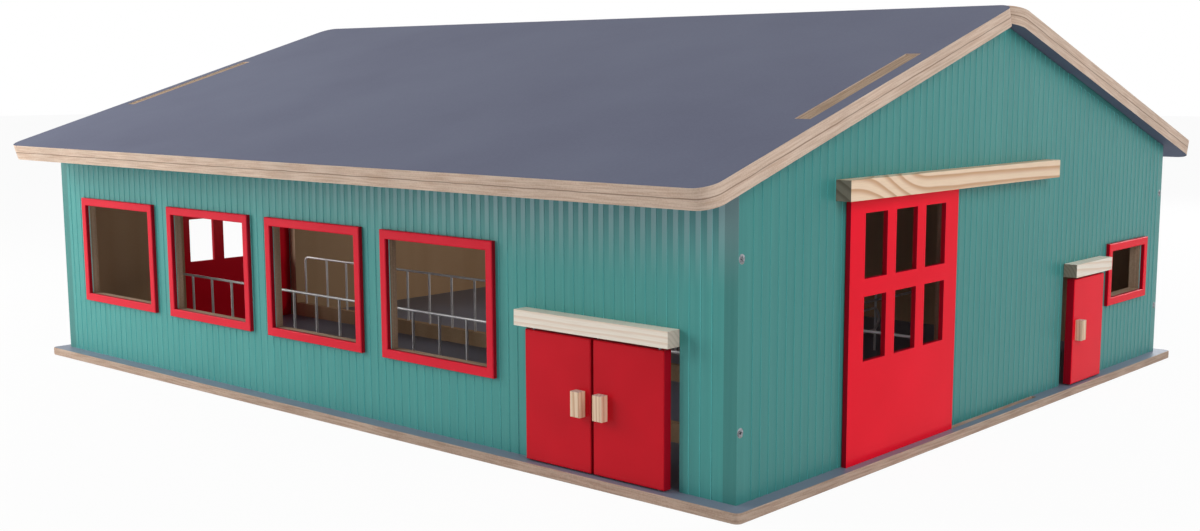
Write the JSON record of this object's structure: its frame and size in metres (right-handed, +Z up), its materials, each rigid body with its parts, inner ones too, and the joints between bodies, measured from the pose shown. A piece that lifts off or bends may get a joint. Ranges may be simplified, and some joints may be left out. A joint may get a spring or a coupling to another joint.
{
  "type": "toy barn",
  "caption": "Wooden toy cattle barn on a base board: fluted walls, framed windows, lift-off pitched roof boards, sliding gable doors, hinged doors, wire feed fences and cubicle dividers.",
  "frame": {"origin": "centre of the base board's underside", "axes": "+X along the ridge, towards the gable with the small door; -Y out of the long wall with the windows; +Z up"},
  "size_m": [0.722, 0.6548, 0.2777],
  "materials": {
    "green_paint": "satin painted board",
    "red_paint": "satin painted board",
    "roof_paint": "matt painted board",
    "floor_paint": "matt painted board",
    "pine": "planed, unfinished",
    "raw_board": "sawn, unfinished",
    "zinc_wire": "zinc plated",
    "steel": "plain"
  },
  "bodies": {
    "barn": {"base_plate": "floor_paint", "front_wall": "green_paint", "back_wall": "green_paint", "gable_wall_right": "green_paint", "gable_wall_left": "green_paint", "front_window_frame_1": "red_paint", "front_window_frame_2": "red_paint", "front_window_frame_3": "red_paint", "front_window_frame_4": "red_paint", "gable_window_frame": "red_paint", "sliding_rail_right": "pine", "sliding_rail_left": "pine", "double_door_header": "pine", "small_door_header": "pine", "gable_screws_right": "steel", "gable_screws_left": "steel", "base_screws": "steel", "feed_kerb_front": "raw_board", "feed_kerb_back": "raw_board", "feed_fence_front": "zinc_wire", "feed_fence_back": "zinc_wire", "cubicle_divider_1": "zinc_wire", "cubicle_divider_2": "zinc_wire", "cubicle_divider_3": "zinc_wire", "cubicle_divider_4": "zinc_wire", "cubicle_divider_5": "zinc_wire", "cubicle_divider_6": "zinc_wire"},
    "front_roof": {"roof_front_lower": "roof_paint", "roof_front_upper": "roof_paint"},
    "back_roof": {"roof_back_lower": "roof_paint", "roof_back_upper": "roof_paint"},
    "right_sliding_door": {"sliding_door_right": "red_paint"},
    "left_sliding_door": {"sliding_door_left": "red_paint"},
    "double_door_left_leaf": {"double_door_left": "red_paint", "double_door_left_handle": "pine", "double_door_left_pins": "steel"},
    "double_door_right_leaf": {"double_door_right": "red_paint", "double_door_right_handle": "pine", "double_door_right_pins": "steel"},
    "small_door_leaf": {"small_door": "red_paint", "small_door_handle": "pine", "small_door_pins": "steel"}
  },
  "joints": [
    {"name": "front_roof_lift", "type": "slide", "parent": "barn", "child": "front_roof", "axis": [0, -0.2982, 0.9545], "range_m": [0, 0.2]},
    {"name": "back_roof_lift", "type": "slide", "parent": "barn", "child": "back_roof", "axis": [0, 0.2982, 0.9545], "range_m": [0, 0.2]},
    {"name": "right_door_slide", "type": "slide", "parent": "barn", "child": "right_sliding_door", "axis": [0, 1, 0], "range_m": [0, 0.122]},
    {"name": "left_door_slide", "type": "slide", "parent": "barn", "child": "left_sliding_door", "axis": [0, 1, 0], "range_m": [0, 0.122]},
    {"name": "double_door_left_swing", "type": "hinge", "parent": "barn", "child": "double_door_left_leaf", "pos_m": [0.2045, -0.292, 0.046], "axis": [0, 0, -1], "range_deg": [-90, 160]},
    {"name": "double_door_right_swing", "type": "hinge", "parent": "barn", "child": "double_door_right_leaf", "pos_m": [0.3005, -0.292, 0.046], "axis": [0, 0, 1], "range_deg": [-90, 160]},
    {"name": "small_door_swing", "type": "hinge", "parent": "barn", "child": "small_door_leaf", "pos_m": [0.3535, 0.16, 0.046], "axis": [0, 0, 1], "range_deg": [-90, 160]}
  ]
}
